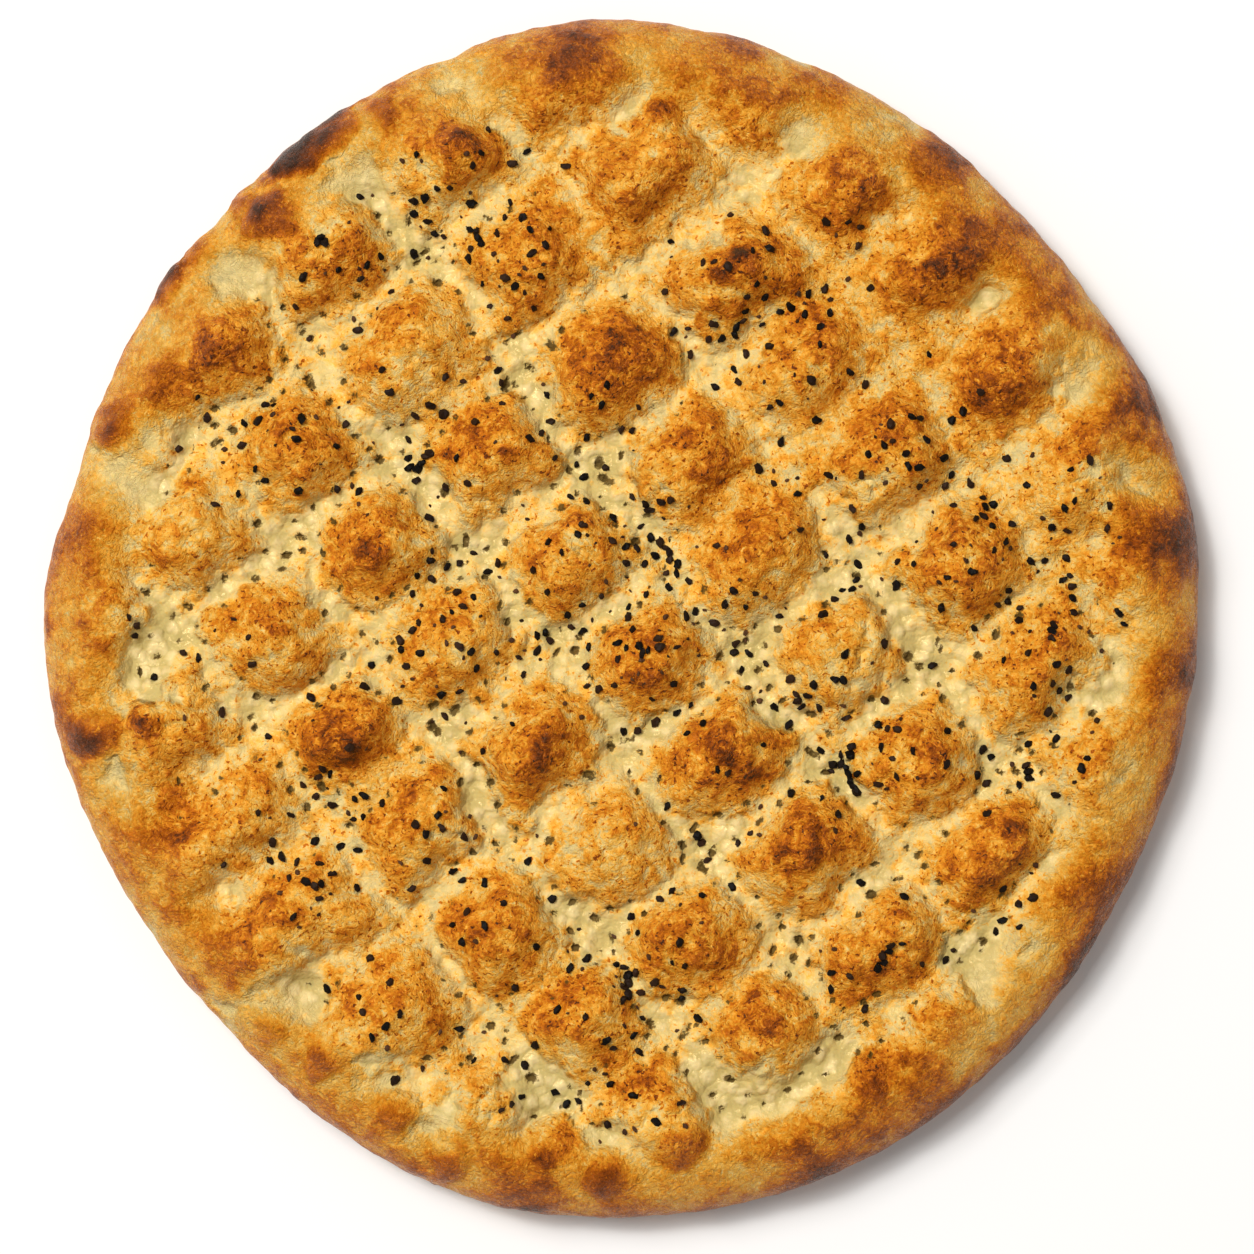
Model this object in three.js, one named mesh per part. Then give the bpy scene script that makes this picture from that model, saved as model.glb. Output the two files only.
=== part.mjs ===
// A round flatbread, pressed by fingertips into a lattice of pillows and strewn with nigella seeds.
// Millimetres, +Z up. The loaf rests on z = 0, with the origin under the middle of its outline.

import * as THREE from 'three';
import { mergeVertices } from 'three/addons/utils/BufferGeometryUtils.js';

// The loaf's edge: its radius every 15 degrees, anticlockwise from +X.
const EDGE_RADII = [
  137.5, 138, 136, 135, 137.5, 140, 142, 140.5, 137, 135, 134, 133.5,
  137, 136, 134.5, 135, 138.5, 142.5, 142.5, 142, 140.5, 138, 136, 136.5,
];
const MEAN_RADIUS = 138;

// The loaf's section, from the flat underside round the side to the crest of the rim.
const RIM_HEIGHT = 27;
const WIDEST_HEIGHT = 11;
const FOOT_INSET = 14;
const SHOULDER_WIDTH = 25;

// The pressed lattice. Rows run along the lattice direction and columns across it. Each offset
// is a groove's distance from the middle of the loaf.
const LATTICE_TURN = THREE.MathUtils.degToRad(38.5);
const ROW_OFFSETS = [-112, -84, -55, -25, 5, 33, 63, 95];
const COLUMN_OFFSETS = [-83, -51, -18, 17, 52, 89];
const GROOVE_DEPTH = 6;
const GROOVE_HALF_WIDTH = 6.5;
const CROSSING_DEPTH = 1.5;
const GROOVE_WANDER = 1;
const WANDER_LENGTH = 24;
const PILLOW_RISE = 2.5;

// The rim isn't pressed: the relief dies away between these shares of the radius.
const PRESSED_TO = 0.83;
const RIM_FROM = 0.93;

// How finely the loaf's skin is divided.
const AROUND = 120;
const UNDERSIDE_RINGS = 3;
const FOOT_RINGS = 4;
const SHOULDER_RINGS = 7;
const TOP_RINGS = 23;

// A nigella seed is a small pointed drop that lies on its side.
const SEED_LENGTH = 2.8;
const SEED_RADIUS = 0.8;
const SEED_SIDES = 5;
const SEED_GAP = 0.35;
const GOLDEN_TURN = THREE.MathUtils.degToRad(137.5);

// Where the seeds lie, as [x, y], one group of the loaf after another from back to front.
const SEED_PLACES = [
  [-45, 117], [-46, 99], [-71, 88], [-33, 92], [-23, 94], [-27, 80],
  [-62, 68], [25, 82], [48, 78], [27, 69], [35, 64], [-89, 41],
  [-76, 42], [-48, 37], [-34, 46], [-8, 43], [46, 47], [49, 34],
  [70, 47], [-45, 14], [-9, 22], [1, 17], [56, 13], [85, 24],
  [82, 11], [91, 7], [104, 26], [105, 5], [8, 15], [16, 9],
  [-103, -8], [-40, 1], [-47, -8], [-37, -16], [-17, -5], [-8, -11],
  [5, -8], [12, -15], [30, -8], [40, -14], [62, -19], [53, -33],
  [76, -34], [101, -15], [108, -35], [-70, -35], [-80, -56], [-68, -60],
  [-48, -48], [-32, -62], [-55, -95], [-20, -100], [-8, -80], [2, -86],
  [18, -51], [15, -81], [62, -78], [90, -71], [3, -112],
];

function edgeRadius(angle) {
  const count = EDGE_RADII.length;
  const place = (angle / (2 * Math.PI)) * count + count;
  const at = Math.floor(place);
  const t = place - at;
  const [a, b, c, d] = [-1, 0, 1, 2].map((step) => EDGE_RADII[(at + step) % count]);
  const slopeIn = (c - a) / 2;
  const slopeOut = (d - b) / 2;
  const bend = 2 * (b - c) + slopeIn + slopeOut;
  const pull = 3 * (c - b) - 2 * slopeIn - slopeOut;
  return ((bend * t + pull) * t + slopeIn) * t + b;
}

function nearestGroove(across, along, offsets) {
  const gaps = offsets.map((offset) => {
    const wander = GROOVE_WANDER * Math.sin(along / WANDER_LENGTH + offset);
    return Math.abs(across - offset - wander);
  });
  return Math.exp(-((Math.min(...gaps) / GROOVE_HALF_WIDTH) ** 2));
}

function relief(x, y) {
  const along = x * Math.cos(LATTICE_TURN) + y * Math.sin(LATTICE_TURN);
  const across = y * Math.cos(LATTICE_TURN) - x * Math.sin(LATTICE_TURN);
  const row = nearestGroove(across, along, ROW_OFFSETS);
  const column = nearestGroove(along, across, COLUMN_OFFSETS);
  const pillow = (1 - row) * (1 - column);
  return PILLOW_RISE * pillow ** 2 - GROOVE_DEPTH * (1 - pillow) - CROSSING_DEPTH * row * column;
}

function loafSection() {
  const points = [];
  const foot = MEAN_RADIUS - FOOT_INSET;
  for (let i = 0; i < UNDERSIDE_RINGS; i += 1) {
    points.push(new THREE.Vector2((foot * i) / UNDERSIDE_RINGS, 0));
  }
  for (let i = 0; i < FOOT_RINGS; i += 1) {
    const angle = (Math.PI / 2) * (i / FOOT_RINGS);
    points.push(new THREE.Vector2(
      foot + FOOT_INSET * Math.sin(angle),
      WIDEST_HEIGHT * (1 - Math.cos(angle)),
    ));
  }
  const crest = MEAN_RADIUS - SHOULDER_WIDTH;
  for (let i = 0; i < SHOULDER_RINGS; i += 1) {
    const angle = (Math.PI / 2) * (i / SHOULDER_RINGS);
    points.push(new THREE.Vector2(
      crest + SHOULDER_WIDTH * Math.cos(angle),
      WIDEST_HEIGHT + (RIM_HEIGHT - WIDEST_HEIGHT) * Math.sin(angle),
    ));
  }
  for (let i = TOP_RINGS; i >= 0; i -= 1) {
    points.push(new THREE.Vector2((crest * i) / TOP_RINGS, RIM_HEIGHT));
  }
  return points;
}

function shapeLoaf(geometry) {
  const position = geometry.getAttribute('position');
  for (let i = 0; i < position.count; i += 1) {
    const x = position.getX(i);
    const y = position.getY(i);
    const z = position.getZ(i);
    const angle = Math.atan2(y, x);
    const stretch = edgeRadius(angle < 0 ? angle + 2 * Math.PI : angle) / MEAN_RADIUS;
    const share = Math.hypot(x, y) / MEAN_RADIUS;
    const pressed = 1 - THREE.MathUtils.smoothstep(share, PRESSED_TO, RIM_FROM);
    const onTop = z > WIDEST_HEIGHT ? 1 : 0;
    const lift = onTop * pressed * relief(x * stretch, y * stretch);
    position.setXYZ(i, x * stretch, y * stretch, z + lift);
  }
}

function closeSkin(geometry) {
  geometry.deleteAttribute('normal');
  geometry.deleteAttribute('uv');
  const closed = mergeVertices(geometry, 0.001);
  closed.computeVertexNormals();
  return closed;
}

function makeLoaf() {
  const geometry = new THREE.LatheGeometry(loafSection(), AROUND);
  geometry.rotateX(Math.PI / 2);
  shapeLoaf(geometry);
  geometry.computeBoundingBox();
  const middle = geometry.boundingBox.getCenter(new THREE.Vector3());
  geometry.translate(-middle.x, -middle.y, 0);
  const crust = new THREE.MeshStandardMaterial({ color: 0xd79a4b, roughness: 0.7, metalness: 0 });
  const loaf = new THREE.Mesh(closeSkin(geometry), crust);
  loaf.name = 'pressed_loaf';
  return loaf;
}

function seedGeometry() {
  const widths = [0, 0.6, 1, 0.75, 0];
  const points = widths.map((width, i) => new THREE.Vector2(
    width * SEED_RADIUS,
    SEED_LENGTH * (i / (widths.length - 1) - 0.5),
  ));
  return closeSkin(new THREE.LatheGeometry(points, SEED_SIDES));
}

// The highest point of the loaf under a seed that lies at (x, y).
function crustHeight(loaf, x, y) {
  const ray = new THREE.Raycaster();
  const down = new THREE.Vector3(0, 0, -1);
  const reach = SEED_LENGTH / 2;
  const heights = [];
  for (let i = 0; i <= 8; i += 1) {
    const from = new THREE.Vector3(x, y, 2 * RIM_HEIGHT);
    const angle = (i * Math.PI) / 4;
    if (i < 8) {
      from.x += reach * Math.cos(angle);
      from.y += reach * Math.sin(angle);
    }
    ray.set(from, down);
    heights.push(ray.intersectObject(loaf)[0].point.z);
  }
  return Math.max(...heights);
}

function makeSeeds(loaf) {
  const geometry = seedGeometry();
  const husk = new THREE.MeshStandardMaterial({ color: 0x171310, roughness: 0.55, metalness: 0 });
  return SEED_PLACES.map(([x, y], i) => {
    const seed = new THREE.Mesh(geometry, husk.clone());
    seed.position.set(x, y, crustHeight(loaf, x, y) + SEED_GAP + SEED_RADIUS);
    seed.rotation.z = i * GOLDEN_TURN;
    seed.name = `nigella_seed_${String(i + 1).padStart(2, '0')}`;
    return seed;
  });
}

const loaf = makeLoaf();
const flatbread = new THREE.Group();
flatbread.add(loaf, ...makeSeeds(loaf));

export default flatbread;
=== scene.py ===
"""A round flatbread, pressed into a quilt of pillows and strewn with nigella seeds."""

import math
import random

import bmesh
import bpy
import numpy as np
from mathutils import Matrix, Vector, noise
from mathutils.bvhtree import BVHTree


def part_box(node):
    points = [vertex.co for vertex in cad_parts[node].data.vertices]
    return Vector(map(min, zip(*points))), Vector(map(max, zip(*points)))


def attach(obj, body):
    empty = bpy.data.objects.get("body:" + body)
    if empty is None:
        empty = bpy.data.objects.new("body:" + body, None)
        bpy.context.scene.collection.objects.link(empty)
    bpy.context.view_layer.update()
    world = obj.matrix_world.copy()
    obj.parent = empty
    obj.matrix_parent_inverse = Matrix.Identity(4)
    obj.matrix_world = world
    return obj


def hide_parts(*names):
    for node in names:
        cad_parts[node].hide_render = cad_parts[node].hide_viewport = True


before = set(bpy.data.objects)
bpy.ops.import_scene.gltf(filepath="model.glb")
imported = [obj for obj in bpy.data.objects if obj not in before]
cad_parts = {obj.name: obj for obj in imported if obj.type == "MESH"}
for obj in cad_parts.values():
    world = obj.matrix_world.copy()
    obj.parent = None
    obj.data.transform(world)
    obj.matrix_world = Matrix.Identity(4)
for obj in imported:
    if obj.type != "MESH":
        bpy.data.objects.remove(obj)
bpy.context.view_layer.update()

MM = 0.001
LOAF = "pressed_loaf"
SEEDS = sorted(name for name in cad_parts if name.startswith("nigella_seed"))

# The loaf's section in mm, as it was baked: from the crest of the rim round the side to the foot.
RIM_HEIGHT = 27
WIDEST_HEIGHT = 11
FOOT_INSET = 14
SHOULDER_WIDTH = 25
CAD_SIDES = 120

# The pressed lattice, in mm: rows run along its direction and columns across it. The raw dough
# shows in a narrower band than the groove, and the relief dies away towards the rim.
LATTICE_TURN = math.radians(38.5)
ROWS = np.array([-112, -84, -55, -25, 5, 33, 63, 95])
COLUMNS = np.array([-83, -51, -18, 17, 52, 89])
GROOVE_DEPTH = 6
GROOVE_HALF_WIDTH = 7.3
RAW_HALF_WIDTH = 4.6
CROSSING_DEPTH = 1.5
GROOVE_WANDER = 1
WANDER_LENGTH = 24
PRESSED_TO = 0.83
RIM_FROM = 0.93

# Fingertip dimples, in mm: two rows down each groove, with a share of them missing. The key
# keeps the columns' random numbers apart from the rows'.
PIT_STEP = 5.6
PIT_ASIDE = 2.9
PIT_STRAY = 1.6
PIT_RADIUS = 0.4
PIT_DEPTH = 1.3
PIT_CLEAR = 5
PITS_MISSED = 0.22
COLUMN_KEY = 20

# How far blisters stand out, as a share of their radius. How far hollows and their pale skin
# reach, how deep the dents of the underside are, and how far in from the edge they end, in mm.
BLISTER_RISE = 0.42
HOLLOW_REACH = 7
PALE_REACH = 7.5
BASE_DENT = 0.7
BASE_INSET = FOOT_INSET + 2.5

# Painted shade: the loaf's right and front side, which face away from the light, are browned
# darker, over this distance in mm.
SHADED_SIDE_REACH = 190

# Lumps in the dough, in mm, from the largest to the smallest, and how far they bend the lattice.
LUMP_SIZE = 16
BEND_SIZE = 12
BEND = 2.2
CRUMB_SIZE = 4.6
FINE_SIZE = 2.4

# How finely the crust and the underside are divided.
CRUST_CELLS = 300
CROWN_SHARE = 0.78
SHOULDER_SHARE = 0.65
UNDERSIDE_CELLS = 60

# Where the oven has toasted the pillows: x, y and reach in mm, and how much.
TOASTED = [
    (-20, 89, 10, 0.30), (-25, 75, 8, 0.25), (-3, 65, 10, 0.25), (1, 60, 8, 0.35),
    (-93, 63, 8, 0.40), (-104, 54, 7, 0.45), (-65, 90, 11, 0.25), (-63, 86, 7, 0.15),
    (-49, 74, 9, 0.28), (-74, 45, 11, 0.25), (-105, 35, 8, 0.25), (-110, 12, 6, 0.50),
    (-62, 15, 9, 0.40), (-40, 43, 7, 0.40), (-29, 39, 8, 0.45), (-33, 44, 11, 0.15),
    (-43, 3, 7, 0.45), (-47, -16, 6, 0.45), (-19, 22, 10, 0.28), (-84, 0, 8, 0.25),
    (22, 126, 12, 0.25), (31, 115, 9, 0.40), (15, 101, 11, 0.20), (19, 97, 7, 0.15),
    (26, 84, 5, 0.60), (52, 102, 10, 0.25), (58, 98, 9, 0.30), (80, 88, 7, 0.40),
    (77, 80, 7, 0.50), (75, 90, 12, 0.15), (46, 71, 9, 0.30), (43, 63, 8, 0.18),
    (86, 59, 11, 0.28), (85, 52, 7, 0.25), (106, 43, 8, 0.40), (11, 43, 8, 0.30),
    (19, 38, 8, 0.35), (49, 44, 11, 0.20), (62, 45, 9, 0.20), (28, 24, 13, 0.22),
    (81, 22, 10, 0.12), (106, -2, 10, 0.25), (-105, -47, 9, 0.55), (-104, -43, 6, 0.30),
    (-69, -28, 11, 0.35), (-65, -32, 6, 0.25), (-19, -32, 8, 0.50), (-29, -18, 7, 0.15),
    (-50, -42, 10, 0.25), (-54, -50, 8, 0.18), (-82, -69, 10, 0.25), (-89, -42, 9, 0.12),
    (-67, -87, 6, 0.40), (-31, -67, 11, 0.30), (-39, -70, 5, 0.25), (-17, -90, 9, 0.45),
    (-3, -45, 10, 0.30), (-40, -104, 7, 0.35), (3, -107, 7, 0.38), (3, -8, 8, 0.30),
    (8, -13, 7, 0.32), (22, -30, 6, 0.40), (29, -38, 6, 0.40), (25, -34, 11, 0.20),
    (42, -52, 9, 0.55), (51, -54, 7, 0.30), (71, -30, 8, 0.38), (90, -53, 8, 0.42),
    (87, -61, 6, 0.30), (97, -13, 10, 0.25), (106, -32, 10, 0.25), (34, -94, 9, 0.48),
    (14, -75, 10, 0.25), (22, -79, 7, 0.20), (60, -81, 9, 0.30), (48, -10, 9, 0.18),
    (-46, -100, 7, 0.12), (58, 15, 9, 0.12), (-10, 134, 13, 0.35), (-20, 131, 7, 0.15),
    (114, -34, 9, 0.12), (70, -95, 9, 0.15), (-62, -92, 9, 0.15), (-116, 20, 7, 0.08),
    (60, 82, 26, 0.30), (78, 52, 24, 0.26), (36, 62, 18, 0.20), (-100, 45, 20, 0.22),
    (-72, 66, 20, 0.14), (28, 26, 20, 0.16), (-80, -56, 24, 0.20), (96, 8, 22, 0.20),
    (30, -95, 26, 0.14), (-40, -90, 26, 0.14), (80, -60, 24, 0.14), (-20, 100, 24, 0.10),
    (-60, -25, 14, 0.14), (-5, 65, 16, 0.10), (62, -99, 17, 0.40), (28, 24, 12, 0.20),
]

# Brown patches with soft edges on the rim: x, y and reach in mm, and how much.
RIM_PATCHES = [
    (47, 124, 7, 0.25), (72, 109, 8, 0.35), (89, 95, 8, 0.22), (101, 78, 8, 0.32),
    (121, 52, 6, 0.35), (124, 19, 10, 0.65), (117, 13, 6, 0.35), (128, 3, 7, 0.36),
    (109, -67, 9, 0.26), (95, -87, 8, 0.12), (45, -124, 8, 0.10),
    (128, -10, 7, 0.35), (-7, 140, 9, 0.25), (-128, 3, 9, 0.36), (-103, -72, 6, 0.12),
    (-131, 20, 6, 0.14), (-29, 127, 7, 0.22), (-94, -81, 7, 0.15),
    (112, -80, 7, 0.08), (-122, -12, 7, 0.18), (-30, -133, 8, 0.18), (84, 108, 6, 0.22),
]

# Blisters that stand proud of the crust and burn first: x, y and radius in mm, and how much.
BLISTERS = [
    (-37, 110, 8, 0.60), (-58, 119, 5, 0.45), (-77, 110, 6, 0.95), (-72, 115, 6, 1.00),
    (-67, 119, 5, 0.80), (-83, 95, 6, 0.60), (-90, 100, 4, 0.35), (-101, 89, 5, 0.38),
    (-108, 81, 5, 0.38), (-121, 46, 6, 0.32), (-96, -2, 4, 0.35), (10, 119, 4, 0.45),
    (-125, -26, 6, 0.58), (-112, -24, 5, 0.48), (-70, -103, 5, 0.45), (-85, -96, 5, 0.32),
    (-53, -116, 5, 0.35), (-16, -122, 5, 0.50), (-41, -128, 6, 0.40), (-3, -133, 5, 0.50),
    (15, -123, 6, 0.42), (58, -107, 5, 0.42), (115, 24, 5, 0.25), (23, -29, 4, 0.22),
    (41, -53, 6, 0.25), (27, 83, 5, 0.30), (-86, 48, 4, 0.15), (-60, 14, 5, 0.15),
]

# Pale hollows, where a groove runs out into the rim: x, y and depth in mm.
HOLLOWS = [
    (-37, 127, 3), (6, 126, 3), (45, 117, 4), (68, 98, 3), (87, 76, 4), (106, 57, 4),
    (121, 33, 5), (119, -14, 4), (107, -57, 4), (84, -82, 3), (67, -93, 2), (48, -104, 2),
    (34, -113, 3), (20, -112, 2), (4, -123, 4), (-20, -115, 3), (-45, -122, 4), (-57, -108, 3),
    (-77, -88, 4), (-97, -66, 5), (-117, -38, 4), (-110, -8, 4), (-114, 33, 3), (-92, 83, 5),
    (-62, 103, 3), (-108, 42, 2),
]

# Where the fingertips left no dimples: x, y and reach in mm, and how much.
UNPRICKED = [(58, 82, 34, 3), (95, 40, 22, 3), (10, 110, 22, 2), (-62, -70, 16, 1), (28, 26, 13, 2)]

# Seeds that lie joined end to end: x, y, how many, and the direction of the string in degrees.
SEED_STRINGS = [
    (-47, 37, 5, 30), (62, -79, 5, 65), (52, -33, 6, 50), (54, -38, 5, 120), (101, -3, 3, 75),
    (-34, 90, 4, 140), (1, -86, 6, 80), (42, -19, 3, 95), (96, -36, 3, 85), (-72, -62, 3, 20),
    (12, 15, 4, 110), (-69, 89, 2, 125),
]

# How the seeds lie, in mm: their length, how many fall round each leading one and how far away,
# and how far apart they keep. SEEDED_TO is a share of the loaf's radius, and the shortening,
# lift and flatness are shares of a seed's length.
SEED_LENGTH = 2.35
SEED_COMPANY = 14
COMPANY_REACH = 17
COMPANY_ROOM = 1.8
LEAD_ROOM = 1.4
STRING_ROOM = 0.8
STRING_STEP = 1.5
STRING_ASIDE = 0.9
SEEDED_TO = 0.87
SEED_SHORTENING = (0.4, 0.5, 0.7, 0.8, 0.9, 1, 1, 1.15)
SEED_LIFT = 0.16
SEED_FLATNESS = 0.85


# ---------------------------------------------------------------- shapes of the crust, in mm


def chance(*keys):
    """A fixed random number from 0 to 1 for each set of keys."""
    mixed = sum(key * weight for key, weight in zip(keys, (12.9898, 78.233, 37.719)))
    value = np.sin(mixed) * 43758.5453
    return value - np.floor(value)


def grain(places, size, seed):
    """A smooth random field, from about -1 to 1, with lumps about `size` mm across."""
    shift = Vector((seed * 31.7, seed * 11.3, seed * 5.9))
    return np.array([1.6 * noise.noise(Vector(place) / size + shift) for place in places])


def soft_step(value, low, high):
    t = np.clip((value - low) / (high - low), 0, 1)
    return t * t * (3 - 2 * t)


def spots(x, y, table, edge=2):
    """The sum of soft round spots, each given as x, y, reach and amount."""
    total = np.zeros_like(x)
    for spot_x, spot_y, reach, amount in table:
        total += amount * np.exp(-((np.hypot(x - spot_x, y - spot_y) / reach) ** edge))
    return total


def domes(x, y, table):
    """The height of round bubbles, each given as x, y, radius and height."""
    total = np.zeros_like(x)
    for dome_x, dome_y, radius, height in table:
        away = np.hypot(x - dome_x, y - dome_y) / radius
        total = np.maximum(total, height * np.sqrt(np.clip(1 - away**2, 0, 1)))
    return total


def packed_edge():
    """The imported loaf's outline: its radius at even angles, in mm."""
    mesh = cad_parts[LOAF].data
    places = np.array([vertex.co for vertex in mesh.vertices]) / MM
    radius = np.hypot(places[:, 0], places[:, 1])
    turn = np.arctan2(places[:, 1], places[:, 0]) / (2 * math.pi)
    side = np.rint(turn * CAD_SIDES).astype(int) % CAD_SIDES
    edge = np.zeros(CAD_SIDES)
    np.maximum.at(edge, side, radius)
    return edge


EDGE = packed_edge()


def edge_radius(x, y):
    turn = np.arctan2(y, x) / (2 * math.pi) % 1
    return np.interp(turn * CAD_SIDES, np.arange(CAD_SIDES + 1), np.append(EDGE, EDGE[0]))


def onto_disc(x, y):
    """Carries a square from -1 to 1 onto a round disc."""
    return x * np.sqrt(1 - y**2 / 2), y * np.sqrt(1 - x**2 / 2)


def crust_section(share, edge):
    """Radius, height and outward direction at a share of the way from the crown to the foot."""
    turn = np.clip((share - CROWN_SHARE) / (1 - CROWN_SHARE), 0, 1)
    on_shoulder = turn < SHOULDER_SHARE
    down_shoulder = 1 - turn / SHOULDER_SHARE
    down_foot = -(turn - SHOULDER_SHARE) / (1 - SHOULDER_SHARE)
    angle = np.where(on_shoulder, down_shoulder, down_foot) * math.pi / 2
    wide = np.where(on_shoulder, SHOULDER_WIDTH, FOOT_INSET)
    tall = np.where(on_shoulder, RIM_HEIGHT - WIDEST_HEIGHT, WIDEST_HEIGHT)
    crown = share < CROWN_SHARE
    crown_radius = (edge - SHOULDER_WIDTH) * share / CROWN_SHARE
    radius = np.where(crown, crown_radius, edge - wide + wide * np.cos(angle))
    height = np.where(crown, RIM_HEIGHT, WIDEST_HEIGHT + tall * np.sin(angle))
    outward = np.where(crown, 0, tall * np.cos(angle))
    upward = np.where(crown, 1, wide * np.sin(angle))
    length = np.hypot(outward, upward)
    return radius, height, outward / length, upward / length


def nearest_groove(across, along, offsets):
    """Signed distance to the nearest groove of a family, and which one it is."""
    wander = GROOVE_WANDER * np.sin(along[:, None] / WANDER_LENGTH + offsets)
    gaps = across[:, None] - offsets - wander
    which = np.argmin(np.abs(gaps), axis=1)
    return gaps[np.arange(len(across)), which], which


def pit_rows(gap, along, which):
    """Distance in mm from the edge of the nearest dimple of two rows down a groove."""
    side = np.where(gap > 0, 1, 2)
    step = np.rint(along / PIT_STEP)
    centre = (step + 0.5 * (chance(step, which, side) - 0.5)) * PIT_STEP
    aside = PIT_ASIDE + PIT_STRAY * (chance(which, step, side + 5) - 0.5)
    size = PIT_RADIUS * chance(side, step, which + 9)
    there = chance(step + 3, side, which) > PITS_MISSED
    away = np.hypot(along - centre, np.abs(gap) - aside) - size
    return np.where(there, away, PIT_CLEAR)


class Crust:
    """The crust's relief, and its toasting with painted shade, at every point of its skin."""

    def __init__(self, x, y, z, share, outward):
        self.places = np.stack([x, y, z], axis=1)
        self.pressed = 1 - soft_step(share, PRESSED_TO, RIM_FROM)
        self.lump = grain(self.places, LUMP_SIZE, 1)
        self.crumb = grain(self.places, CRUMB_SIZE, 2)
        self.fine = grain(self.places, FINE_SIZE, 3)
        x = x + BEND * grain(self.places, BEND_SIZE, 4)
        y = y + BEND * grain(self.places, BEND_SIZE, 5)
        self.lattice(x, y)
        pale = [(a, b, PALE_REACH, 1) for a, b, _ in HOLLOWS]
        self.hollow = np.clip(spots(x, y, pale), 0, 1)
        self.blister = domes(x, y, [(a, b, 1.1 * r, 1) for a, b, r, _ in BLISTERS])
        self.rise = self.relief(x, y, outward)
        self.browning = self.toasting(x, y, z, outward)
        away = [np.hypot(x - a, y - b) for a, b, _, _ in BLISTERS]
        self.ring = np.min(away, axis=0)

    def lattice(self, x, y):
        along = x * math.cos(LATTICE_TURN) + y * math.sin(LATTICE_TURN)
        across = y * math.cos(LATTICE_TURN) - x * math.sin(LATTICE_TURN)
        row_gap, row = nearest_groove(across, along, ROWS)
        column_gap, column = nearest_groove(along, across, COLUMNS)
        in_row = np.exp(-((row_gap / GROOVE_HALF_WIDTH) ** 2))
        in_column = np.exp(-((column_gap / GROOVE_HALF_WIDTH) ** 2))
        self.pillow = (1 - in_row) * (1 - in_column)
        self.crossing = in_row * in_column
        raw_row = np.exp(-((row_gap / RAW_HALF_WIDTH) ** 2))
        raw_column = np.exp(-((column_gap / RAW_HALF_WIDTH) ** 2))
        self.cover = (1 - raw_row) * (1 - raw_column)
        row_pits = pit_rows(row_gap, along, row)
        column_pits = pit_rows(column_gap, across, column + COLUMN_KEY)
        near = np.minimum(row_pits, column_pits)
        near = near + 0.2 * self.fine + 2.5 * (1 - self.pressed)
        near = near + 2 * np.maximum(self.pillow - 0.4, 0)
        near = near + 0.35 * np.maximum(self.lump, 0) + spots(x, y, UNPRICKED)
        self.pit = np.clip(near, -2, PIT_CLEAR)
        self.cell = chance(row + (row_gap > 0), column + (column_gap > 0))

    def relief(self, x, y, outward):
        """How far the skin stands out from the loaf's plain section."""
        swell = 0.85 * self.pillow + 0.15 * soft_step(self.pillow, 0.1, 0.9)
        lift = (1.5 + 2 * self.cell) * self.pillow**2 - GROOVE_DEPTH * (1 - swell)
        lift = self.pressed * (lift - CROSSING_DEPTH * self.crossing)
        hollows = [(a, b, HOLLOW_REACH, 0.8 * depth) for a, b, depth in HOLLOWS]
        blisters = [(a, b, r, BLISTER_RISE * r) for a, b, r, _ in BLISTERS]
        swollen = [(a, b, r, 1.5 * amount) for a, b, r, amount in TOASTED + RIM_PATCHES]
        calmer = 1 - 0.6 * outward
        lift -= spots(x, y, hollows) * (1 - 0.6 * self.pressed)
        lift += domes(x, y, blisters) * calmer
        lift += spots(x, y, swollen)
        lift += 0.9 * self.lump * calmer
        knobbly = self.pressed * (0.7 + 0.6 * self.pillow)
        lift += (0.20 + 0.36 * knobbly) * self.crumb + (0.12 + 0.18 * knobbly) * self.fine
        return lift - PIT_DEPTH * soft_step(-self.pit, -1.2, 0.4)

    def toasting(self, x, y, z, outward):
        """How brown the skin is, from raw at 0 to burnt at 1, with painted shade added on the side
        away from the light.
        """
        ragged = self.cover + 0.20 * self.crumb + 0.12 * self.fine + 0.25 * self.lump
        pillows = 0.08 + (0.18 + 0.13 * self.cell) * soft_step(ragged, -0.1, 1.05)
        # Painted shade: the rim, and its outer side most of all, is browned darker towards the
        # right and front, away from the light. The slight darkening of the outer side all round is
        # real toasting.
        shaded_side = soft_step((x - y) / SHADED_SIDE_REACH, -0.2, 0.9)
        rim = 0.37 + 0.06 * shaded_side + 0.17 * self.lump + 0.06 * self.crumb
        rim += (0.03 + 0.17 * shaded_side) * soft_step(outward, 0.5, 1)
        browning = pillows * self.pressed + rim * (1 - self.pressed)
        patches = [(a, b, r, 0.48 * amount) for a, b, r, amount in TOASTED + RIM_PATCHES]
        burnt = [(a, b, 1.15 * r, 0.6 * amount) for a, b, r, amount in BLISTERS]
        upper = 0.2 + 0.8 * soft_step(z + 3 * self.lump, 2, 13)
        browning += spots(x, y, patches, 3) * upper
        browning += domes(x, y, burnt) * upper * (1 + 0.25 * self.crumb)
        browning -= 0.25 * self.hollow
        browning += (0.09 * self.crumb + 0.06 * self.fine) * self.pillow + 0.03 * self.lump
        return np.clip(browning * (1 - 0.15 * soft_step(-z, -9, -1)), 0, 1)


# ---------------------------------------------------------------- the loaf


def grid_places(verts):
    places = np.array([vert.co for vert in verts])
    return onto_disc(places[:, 0], places[:, 1])


def place_verts(verts, x, y, z):
    for vert, place in zip(verts, np.stack([x, y, z], axis=1) * MM):
        vert.co = place


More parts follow.
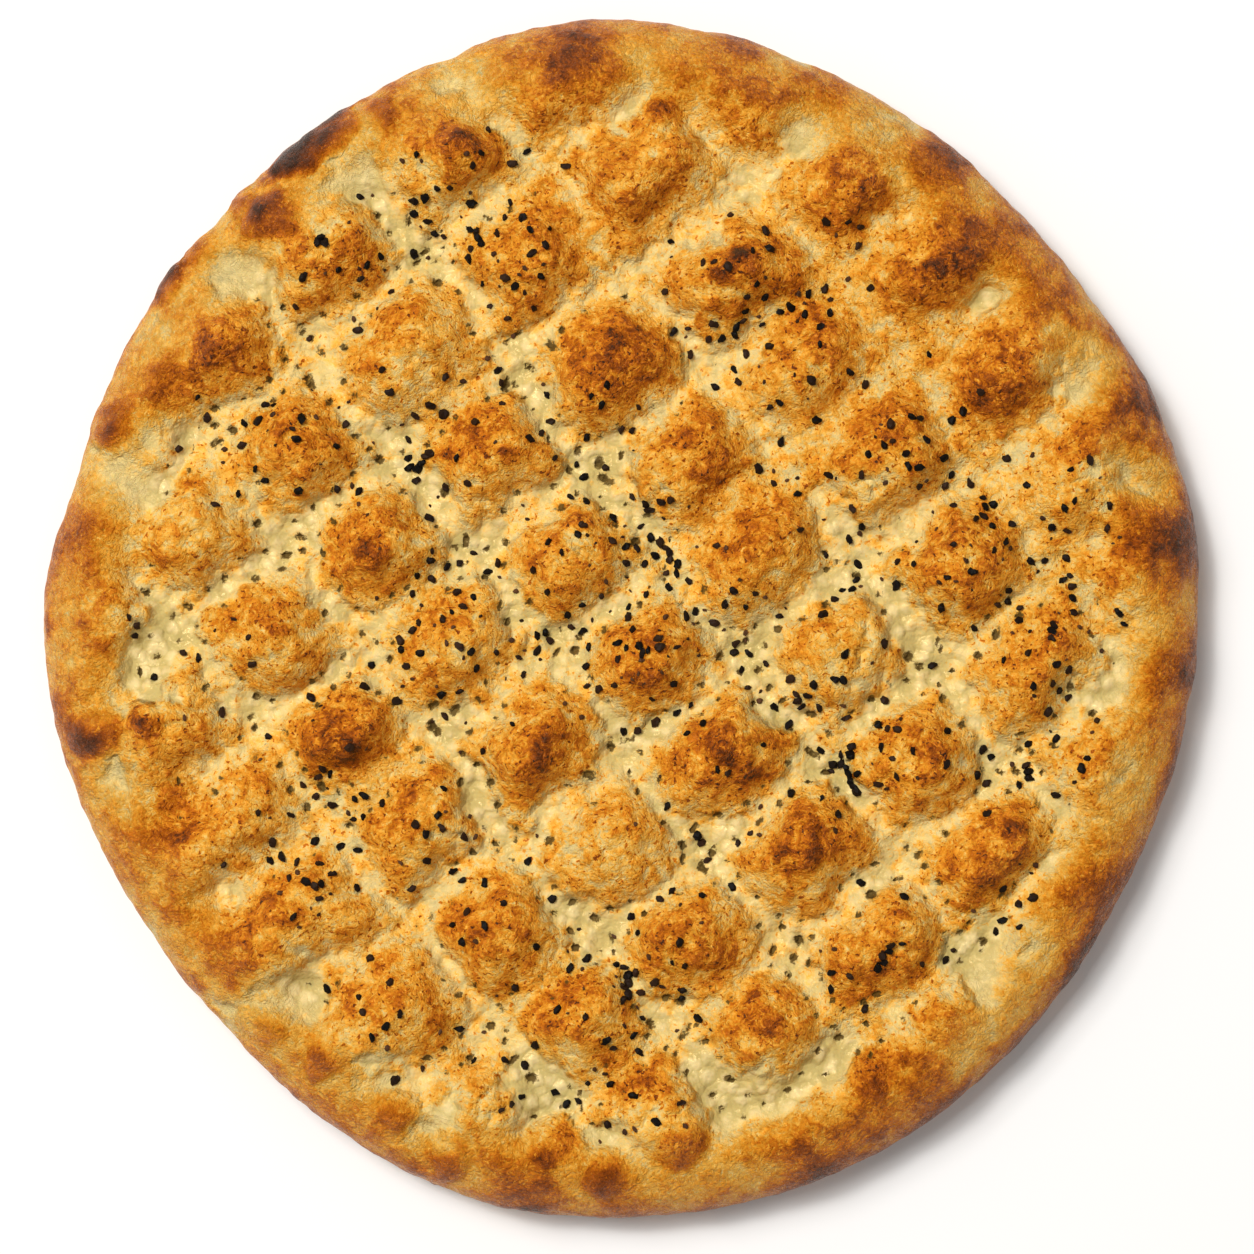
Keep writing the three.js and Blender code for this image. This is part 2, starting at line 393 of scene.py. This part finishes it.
def crust_skin(bm):
    """The top and sides of the loaf, down to its foot."""
    made = bmesh.ops.create_grid(bm, x_segments=CRUST_CELLS, y_segments=CRUST_CELLS, size=1)
    verts = made["verts"]
    x, y = grid_places(verts)
    share = np.hypot(x, y)
    edge = edge_radius(x, y)
    radius, height, outward, upward = crust_section(share, edge)
    along_x = x / np.maximum(share, 1e-9)
    along_y = y / np.maximum(share, 1e-9)
    inward = radius / edge + (height < WIDEST_HEIGHT)
    crust = Crust(radius * along_x, radius * along_y, height, inward, outward)
    rise = crust.rise * soft_step(height, 0, 6)
    radius = radius + rise * outward
    place_verts(verts, radius * along_x, radius * along_y, height + rise * upward)
    return verts, crust


def underside_skin(bm):
    """The flat base, a little dented by the baking stone."""
    made = bmesh.ops.create_grid(bm, x_segments=UNDERSIDE_CELLS, y_segments=UNDERSIDE_CELLS, size=1)
    verts = made["verts"]
    x, y = grid_places(verts)
    radius = edge_radius(x, y) - BASE_INSET
    x, y = x * radius, y * radius
    places = np.stack([x, y, np.zeros_like(x)], axis=1)
    dents = np.maximum(grain(places, 14, 7) + 0.4 * grain(places, 6, 8), 0)
    inside = 1 - soft_step(np.hypot(x, y) / radius, 0.93, 1)
    place_verts(verts, x, y, BASE_DENT * dents * inside)
    faces = {face for vert in verts for face in vert.link_faces}
    bmesh.ops.reverse_faces(bm, faces=list(faces))
    browning = 0.40 + 0.16 * grain(places, 22, 9) + 0.10 * grain(places, 8, 10) - 0.12 * dents
    return verts, browning


def write_attribute(mesh, name, values):
    attribute = mesh.attributes.new(name, "FLOAT", "POINT")
    attribute.data.foreach_set("value", np.asarray(values, dtype=np.float32))


def make_loaf():
    bm = bmesh.new()
    top, crust = crust_skin(bm)
    base, base_browning = underside_skin(bm)
    rims = [edge for edge in bm.edges if edge.is_boundary]
    bmesh.ops.bridge_loops(bm, edges=rims)
    bmesh.ops.recalc_face_normals(bm, faces=bm.faces)
    for face in bm.faces:
        face.smooth = True
    mesh = bpy.data.meshes.new("loaf")
    bm.to_mesh(mesh)
    tree = BVHTree.FromBMesh(bm)
    bm.free()
    plain = np.zeros(len(base))
    for name, above, below in (
        ("browning", crust.browning, base_browning),
        ("blister", crust.blister, plain),
        ("ring", crust.ring, plain + 50),
        ("pit", crust.pit, plain + PIT_CLEAR),
        ("skin", 1 - crust.pressed, plain + 1),
        ("flour", np.zeros(len(top)), plain + 1),
    ):
        write_attribute(mesh, name, np.concatenate([above, below]))
    loaf = bpy.data.objects.new("loaf", mesh)
    bpy.context.collection.objects.link(loaf)
    return loaf, tree


# ---------------------------------------------------------------- the seeds


def seed_spots(rng):
    """Places, lengths and directions of all the seeds, in mm and radians."""
    found = []

    def drop(x, y, length, turn, room):
        edge = float(edge_radius(np.array([x]), np.array([y]))[0])
        inside = math.hypot(x, y) < SEEDED_TO * edge
        clear = all(math.hypot(x - a, y - b) > room for a, b, *_ in found)
        if inside and clear:
            found.append((x, y, length, turn))

    for x, y, count, degrees in SEED_STRINGS:
        turn = math.radians(degrees)
        for i in range(count):
            step = STRING_STEP * (i - (count - 1) / 2)
            bend = turn + rng.uniform(-0.9, 0.9)
            aside = rng.uniform(-STRING_ASIDE, STRING_ASIDE)
            place = (
                x + step * math.cos(turn) - aside * math.sin(turn),
                y + step * math.sin(turn) + aside * math.cos(turn),
            )
            drop(*place, SEED_LENGTH * rng.uniform(0.95, 1.2), bend, STRING_ROOM)
    for name in SEEDS:
        low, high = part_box(name)
        lead = (low + high) / 2 / MM
        length = SEED_LENGTH * rng.uniform(1, 1.15)
        drop(lead.x, lead.y, length, rng.uniform(0, math.tau), LEAD_ROOM)
        for _ in range(SEED_COMPANY):
            away = COMPANY_REACH * math.sqrt(rng.random())
            way = rng.uniform(0, math.tau)
            place = (lead.x + away * math.cos(way), lead.y + away * math.sin(way))
            length = SEED_LENGTH * rng.choice(SEED_SHORTENING)
            drop(*place, length, rng.uniform(0, math.tau), COMPANY_ROOM)
    return found


def shape_seed(rng, length):
    """One seed at the origin: an angular drop that lies along X."""
    bm = bmesh.new()
    toast = bm.verts.layers.float.new("toast")
    bmesh.ops.create_uvsphere(bm, u_segments=6, v_segments=5, radius=0.5)
    bmesh.ops.rotate(bm, verts=bm.verts, matrix=Matrix.Rotation(math.pi / 2, 3, "Y"))
    width = rng.uniform(0.58, 0.85)
    taper = rng.uniform(0.1, 1.0)
    for vert in bm.verts:
        pinch = width * (1 - taper * max(vert.co.x, 0))
        jolt = Vector([rng.uniform(-0.09, 0.09) for _ in range(3)])
        vert.co = Vector((vert.co.x, vert.co.y * pinch, vert.co.z * pinch)) + jolt
    bmesh.ops.scale(bm, verts=bm.verts, vec=Vector((1, 1, SEED_FLATNESS)) * length * MM)
    crumb = length < 0.75 * SEED_LENGTH
    shade = rng.uniform(0.2, 1) if crumb else 0.3 * rng.random() ** 2
    for vert in bm.verts:
        vert[toast] = shade
    return bm


def make_seeds(tree):
    rng = random.Random(27)
    strewn = bmesh.new()
    mesh = bpy.data.meshes.new("nigella_seeds")
    for x, y, length, turn in seed_spots(rng):
        spot, normal, _, _ = tree.ray_cast(Vector((x * MM, y * MM, 1)), Vector((0, 0, -1)))
        seed = shape_seed(rng, length)
        tip = Matrix.Rotation(rng.uniform(-0.35, 0.35), 3, "Y")
        lay = normal.to_track_quat("Z", "X").to_matrix() @ Matrix.Rotation(turn, 3, "Z") @ tip
        bmesh.ops.rotate(seed, verts=seed.verts, matrix=lay)
        lift = normal * (SEED_LIFT * length * MM)
        bmesh.ops.translate(seed, verts=seed.verts, vec=spot + lift)
        seed.to_mesh(mesh)
        seed.free()
        strewn.from_mesh(mesh)
    strewn.to_mesh(mesh)
    strewn.free()
    seeds = bpy.data.objects.new("nigella_seeds", mesh)
    bpy.context.collection.objects.link(seeds)
    return seeds


# ---------------------------------------------------------------- finishes


class Amount:
    """A number that varies over a surface. Sums on it add Math nodes."""

    def __init__(self, finish, socket):
        self.finish = finish
        self.socket = socket

    def maths(self, operation, *values):
        return self.finish.add("Math", {"operation": operation}, dict(enumerate(values)))

    def __add__(self, other):
        return self.maths("ADD", self, other)

    def __sub__(self, other):
        return self.maths("SUBTRACT", self, other)

    def __rsub__(self, other):
        return self.maths("SUBTRACT", other, self)

    def __mul__(self, other):
        return self.maths("MULTIPLY", self, other)

    __radd__ = __add__
    __rmul__ = __mul__

    def sine(self):
        return self.maths("SINE", self)

    def over(self, low, high):
        """0 below low, 1 above high, and smooth between."""
        settings = {"interpolation_type": "SMOOTHSTEP"}
        return self.finish.add("MapRange", settings, {"Value": self, 1: low, 2: high})


class Finish:
    """A material. Every node of it comes from add()."""

    def __init__(self, name):
        self.material = bpy.data.materials.new(name)
        self.material.use_nodes = True
        self.tree = self.material.node_tree
        self.tree.nodes.clear()

    def add(self, kind, settings=None, inputs=None, out=0):
        """Adds a node and returns one of its outputs."""
        node = self.tree.nodes.new("ShaderNode" + kind)
        for name, value in (settings or {}).items():
            if name == "stops":
                self.set_stops(node.color_ramp, value)
            else:
                setattr(node, name, value)
        for name, value in (inputs or {}).items():
            if isinstance(value, Amount):
                self.tree.links.new(value.socket, node.inputs[name])
            else:
                node.inputs[name].default_value = value
        return Amount(self, node.outputs[out]) if node.outputs else None

    def set_stops(self, ramp, stops):
        while len(ramp.elements) < len(stops):
            ramp.elements.new(1)
        for element, (position, colour) in zip(ramp.elements, stops):
            element.position = position
            element.color = (*colour, 1)

    def attribute(self, name):
        return self.add("Attribute", {"attribute_name": name}, out=2)

    def noise(self, where, size_mm, detail=2, roughness=0.5, distortion=0):
        inputs = {"Vector": where, "Scale": 1 / (size_mm * MM), "Detail": detail}
        inputs.update({"Roughness": roughness, "Distortion": distortion})
        return self.add("TexNoise", inputs=inputs)

    def bubbles(self, where, size_mm):
        """Round lumps side by side: 1 on top of each and near 0 between them."""
        inputs = {"Vector": where, "Scale": 1 / (size_mm * MM)}
        return 1 - self.add("TexVoronoi", inputs=inputs)

    def ramp(self, amount, stops):
        return self.add("ValToRGB", {"stops": stops}, {0: amount})

    def blend(self, share, colour_a, colour_b):
        settings = {"data_type": "RGBA"}
        return self.add("Mix", settings, {0: share, 6: colour_a, 7: colour_b}, out=2)

    def bump(self, height, depth_mm):
        inputs = {"Height": height, "Distance": depth_mm * MM, "Strength": 1}
        return self.add("Bump", inputs=inputs)

    def shade(self, **sockets):
        names = {name.replace("_", " "): value for name, value in sockets.items()}
        shader = self.add("BsdfPrincipled", inputs=names)
        self.add("OutputMaterial", inputs={"Surface": shader})
        return self.material


CRUST_STOPS = [
    (0.00, (0.73, 0.57, 0.24)),
    (0.12, (0.84, 0.60, 0.21)),
    (0.26, (0.92, 0.485, 0.075)),
    (0.40, (0.84, 0.325, 0.020)),
    (0.54, (0.62, 0.165, 0.006)),
    (0.70, (0.32, 0.066, 0.004)),
    (0.85, (0.14, 0.030, 0.005)),
    (1.00, (0.045, 0.015, 0.008)),
]
# Painted highlight and painted shade: raw dough as lit on the tops of its lumps, and as shaded
# between them.
LIT_DOUGH = (0.83, 0.65, 0.31, 1)
SHADED_DOUGH = (0.50, 0.38, 0.12, 1)
# Painted shade inside the fingertip dimples.
DIMPLE_SHADE = (0.10, 0.055, 0.010, 1)
FLOUR = (0.80, 0.72, 0.58, 1)
SEED_BLACK = (0.003, 0.0025, 0.002, 1)
SEED_BROWN = (0.10, 0.042, 0.018, 1)
FLOOR_WHITES = (0.90, 0.90, 0.90, 1), (0.92, 0.92, 0.92, 1)


def crust_finish():
    finish = Finish("crust")
    where = finish.add("TexCoord", out=3)
    browning = finish.attribute("browning")
    blister = finish.attribute("blister")
    ring = finish.attribute("ring")
    pit = finish.attribute("pit")
    skin = finish.attribute("skin")
    flour = finish.attribute("flour")
    pressed = 1 - skin

    patch = finish.noise(where, 5, 3, 0.55, 0.6)
    swell = finish.noise(where, 4.5, 0)
    wobble = finish.noise(where, 1.5, 1)
    curd = finish.bubbles(where, 3.3) + (wobble - 0.5) * 0.5
    flake = finish.noise(where, 1.8, 4, 0.65, 1.4)
    grit = finish.noise(where, 0.6, 2, 0.5, 0.5)
    wrinkle = finish.noise(where, 2.4, 4, 0.6, 2.6)
    crumb = finish.noise(where, 1.1, 2, 0.5, 0.5).over(0.61, 0.68)
    # Painted highlight: a scatter of small pale glints.
    painted_glint = finish.noise(where, 1.4, 3, 0.7, 1.2).over(0.58, 0.66)

    firm = browning.over(0.08, 0.28)
    toasted = (browning + (patch - 0.5) * 0.2).over(0.05, 0.17)
    ragged = (patch - 0.5) * (0.25 + 0.75 * toasted * (0.15 + 0.85 * pressed))
    flaky = (0.40 + 0.7 * browning) * toasted * (0.7 + 0.3 * pressed)
    ragged = ragged + (flake - 0.5) * (0.12 + flaky)
    ragged = ragged * (1 - blister * skin * 0.6)
    tone = browning + ragged + (grit - 0.5) * 0.14 + crumb * pressed * (0.08 + 0.26 * toasted)
    # Painted highlight: the small glints lighten the toasted crust.
    tone = tone - painted_glint * 0.18 * toasted
    baked = finish.ramp(tone, CRUST_STOPS)
    # Painted highlight and painted shade: the raw dough is pale on the tops of its lumps and dark
    # olive in the creases between them.
    dough = finish.blend((curd + (patch - 0.5) * 0.5).over(0.36, 0.80), SHADED_DOUGH, LIT_DOUGH)
    crust = finish.blend((1 - toasted) * pressed * 0.7, baked, dough)
    # Painted shade: the fingertip dimples are darkened towards their middles.
    dimple_shade_mask = (0.95 - pit - (flake - 0.5) * 2.2 - (grit - 0.5) * 0.6).over(0.05, 0.50)
    dimple_shaded = finish.blend(dimple_shade_mask * 0.93, crust, DIMPLE_SHADE)
    dust = flour * finish.noise(where, 11, 4, 0.65).over(0.42, 0.7) * 0.55
    floured = finish.blend(dust, dimple_shaded, FLOUR)

    rings = (ring * 7.0 + patch * 12.0).sine()
    height = flake * (0.08 + 1.1 * firm) + wrinkle * (0.25 * firm + 1.2 * skin)
    height = height + grit * 0.3 * firm + patch * 1.6 * firm + swell * 1.4
    height = height + curd * (0.9 - 0.5 * firm) * pressed + rings * 0.06 * blister
    bumped = finish.bump(height - (0.7 - pit).over(0, 0.9) * 0.9, 1)
    roughness = 0.19 + 0.12 * toasted + (grit - 0.5) * 0.6 + dimple_shade_mask * 0.5

    return finish.shade(
        Base_Color=floured,
        Roughness=roughness,
        Normal=bumped,
        Specular_IOR_Level=0.28,
        Specular_Tint=(1, 0.74, 0.40, 1),
        Subsurface_Weight=0.08,
        Subsurface_Radius=(0.0030, 0.0014, 0.0006),
        Subsurface_Scale=1.0,
    )


def seed_finish():
    finish = Finish("seed_husk")
    where = finish.add("TexCoord", out=3)
    toast = finish.attribute("toast")
    pores = finish.noise(where, 0.5, 3, 0.6)
    colour = finish.blend(toast + (pores - 0.5) * 0.25, SEED_BLACK, SEED_BROWN)
    return finish.shade(
        Base_Color=colour,
        Roughness=0.38 + 0.35 * pores,
        Normal=finish.bump(pores, 0.12),
        Specular_IOR_Level=0.1,
    )


def floor_finish():
    finish = Finish("pale_floor")
    where = finish.add("TexCoord", out=3)
    cloud = finish.noise(where, 400, 2)
    colour = finish.blend(cloud, *FLOOR_WHITES)
    return finish.shade(Base_Color=colour, Roughness=0.7, Specular_IOR_Level=0.2)


# ---------------------------------------------------------------- the studio


FLOOR_SIZE = 4
SKY = (1, 0.985, 0.96, 1)
SKY_STRENGTH = 0.33
DAYLIGHT = (1, 0.98, 0.95)
LIGHT_PLACE = (-1.08, 0.90, 2.66)


def lay_floor():
    bm = bmesh.new()
    bmesh.ops.create_grid(bm, x_segments=1, y_segments=1, size=FLOOR_SIZE)
    mesh = bpy.data.meshes.new("floor")
    bm.to_mesh(mesh)
    bm.free()
    floor = bpy.data.objects.new("floor", mesh)
    bpy.context.collection.objects.link(floor)
    mesh.materials.append(floor_finish())
    return floor


def hang_light(name, size, watts):
    """A square light at the back left, turned to the loaf."""
    lamp = bpy.data.lights.new(name, "AREA")
    lamp.size = size
    lamp.energy = watts
    lamp.color = DAYLIGHT
    light = bpy.data.objects.new(name, lamp)
    light.location = LIGHT_PLACE
    light.rotation_euler = (-Vector(LIGHT_PLACE)).to_track_quat("-Z", "Y").to_euler()
    bpy.context.collection.objects.link(light)


def light_studio():
    world = bpy.data.worlds.new("studio")
    world.use_nodes = True
    background = world.node_tree.nodes["Background"]
    background.inputs["Color"].default_value = SKY
    background.inputs["Strength"].default_value = SKY_STRENGTH
    bpy.context.scene.world = world
    hang_light("window", 1.35, 70)
    hang_light("lamp", 0.40, 21.5)
    bpy.context.scene.view_settings.view_transform = "Standard"


def hang_camera():
    """Straight above the loaf, so that its outline nearly fills the frame."""
    lens, sensor, seen = 120, 36, 298.6 * MM
    camera = bpy.data.cameras.new("camera")
    camera.lens = lens
    camera.sensor_width = sensor
    rig = bpy.data.objects.new("camera", camera)
    rig.location = (1.4 * MM, -1.8 * MM, WIDEST_HEIGHT * MM + seen * lens / sensor)
    bpy.context.collection.objects.link(rig)
    bpy.context.scene.camera = rig


# ---------------------------------------------------------------- putting it together

loaf, loaf_tree = make_loaf()
loaf.data.materials.append(crust_finish())
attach(loaf, "root")
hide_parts(LOAF)

seeds = make_seeds(loaf_tree)
seeds.data.materials.append(seed_finish())
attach(seeds, "root")
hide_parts(*SEEDS)

lay_floor()
light_studio()
hang_camera()
